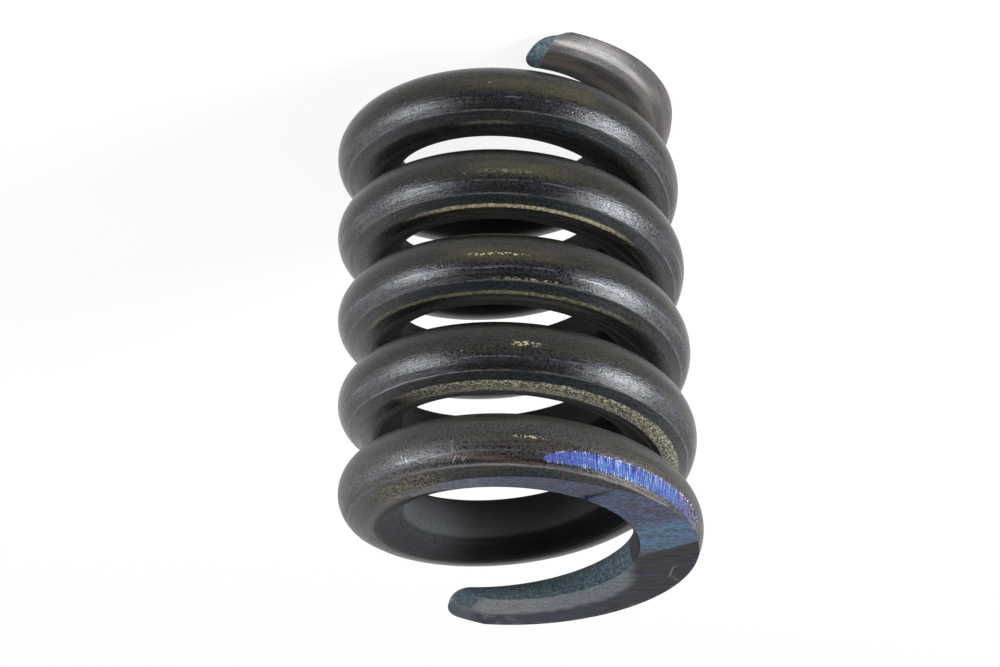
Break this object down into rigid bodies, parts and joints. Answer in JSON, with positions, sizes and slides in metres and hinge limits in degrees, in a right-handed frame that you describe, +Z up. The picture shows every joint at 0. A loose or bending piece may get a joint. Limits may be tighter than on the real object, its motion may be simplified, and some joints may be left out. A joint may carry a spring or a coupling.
{
  "type": "helical compression spring",
  "caption": "Heavy left-hand compression spring of round bar with open, ground ends, for the spool of a hydraulic control valve.",
  "frame": {"origin": "middle of the lower ground seat, on the coil's axis", "axes": "+Z up the coil's axis, from the lower seat to the upper one; -Y is the front"},
  "size_m": [0.052, 0.052, 0.0735],
  "materials": {
    "spring_steel": "dark oil-tempered and shot-peened, with ground ends"
  },
  "bodies": {
    "root": {"coil_spring": "spring_steel"}
  },
  "joints": []
}
